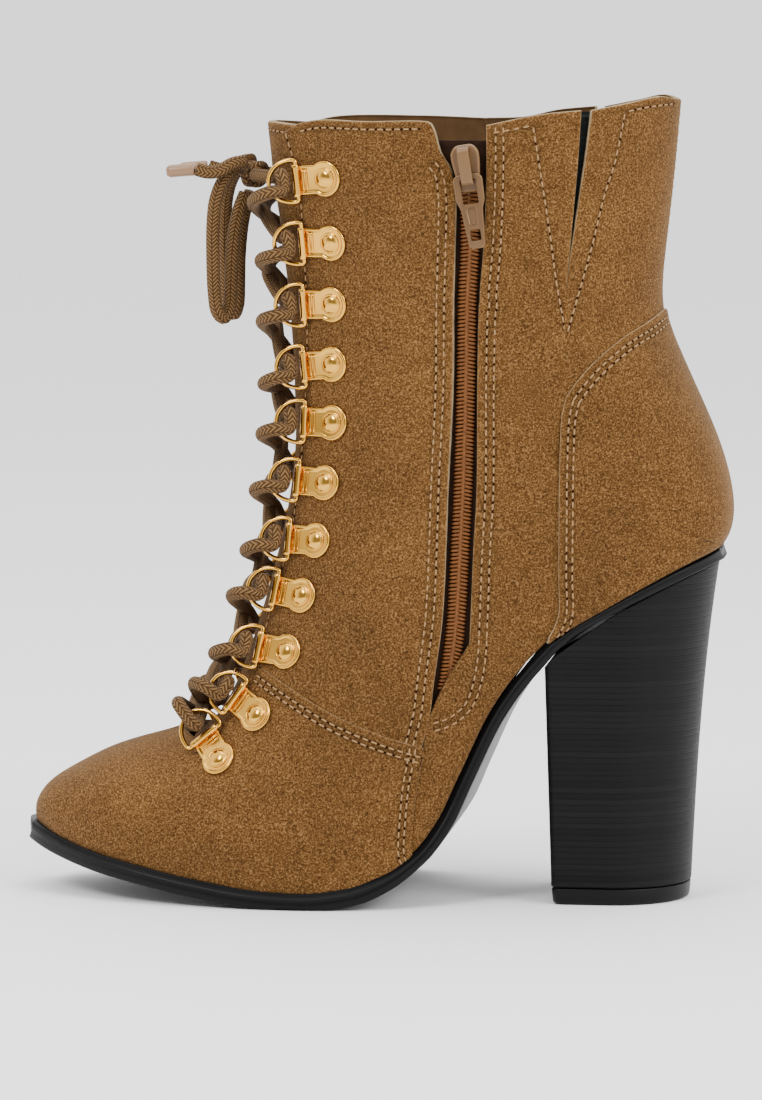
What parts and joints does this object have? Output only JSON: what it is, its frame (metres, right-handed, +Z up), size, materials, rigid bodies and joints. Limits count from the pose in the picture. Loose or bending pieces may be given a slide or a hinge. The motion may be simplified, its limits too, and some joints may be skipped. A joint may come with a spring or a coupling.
{
  "type": "heeled ankle boot",
  "caption": "Suede lace-up ankle boot for the right foot: block heel, D-ring lacing over a tongue, inside zip and elastic side slits.",
  "frame": {"origin": "centre of the heel's flat bottom, on the floor", "axes": "+Z up, +X forward to the toe, +Y to the wearer's left, the inner side with the zip"},
  "size_m": [0.2137, 0.0892, 0.2399],
  "materials": {
    "suede": "brushed suede",
    "sole_rubber": "satin",
    "heel_stack": "satin, fine stacked lines",
    "lining": "woven",
    "elastic": "ribbed elastic",
    "zip_tape": "woven",
    "zip_coil": "satin",
    "zip_metal": "satin paint",
    "gold_metal": "polished",
    "lace": "braided",
    "aglet_film": "gloss"
  },
  "bodies": {
    "boot": {"upper": "suede", "outsole": "sole_rubber", "heel": "heel_stack", "top_piece": "sole_rubber", "insole": "lining", "tongue": "suede", "zip_tape": "zip_tape", "zip_coil": "zip_coil", "gore_medial": "elastic", "gore_lateral": "elastic", "dring_medial_1": "gold_metal", "dring_medial_2": "gold_metal", "dring_medial_3": "gold_metal", "dring_medial_4": "gold_metal", "dring_medial_5": "gold_metal", "dring_medial_6": "gold_metal", "dring_medial_7": "gold_metal", "dring_medial_8": "gold_metal", "dring_medial_9": "gold_metal", "dring_medial_10": "gold_metal", "dring_medial_11": "gold_metal", "dring_lateral_1": "gold_metal", "dring_lateral_2": "gold_metal", "dring_lateral_3": "gold_metal", "dring_lateral_4": "gold_metal", "dring_lateral_5": "gold_metal", "dring_lateral_6": "gold_metal", "dring_lateral_7": "gold_metal", "dring_lateral_8": "gold_metal", "dring_lateral_9": "gold_metal", "dring_lateral_10": "gold_metal", "dring_lateral_11": "gold_metal", "lace_crossings": "lace", "lace_knot": "lace", "lace_loop_medial": "lace", "lace_end_medial": "lace", "aglet_medial": "aglet_film", "lace_loop_lateral": "lace", "lace_end_lateral": "lace", "aglet_lateral": "aglet_film", "zip_slider": "zip_metal"},
    "zip_pull": {"zip_pull": "zip_metal"}
  },
  "joints": [
    {"name": "zip_pull_hinge", "type": "hinge", "parent": "boot", "child": "zip_pull", "pos_m": [0.0436, 0.03714, 0.21698], "axis": [0.9892, -0.0121, -0.1458], "range_deg": [0, 145]}
  ]
}
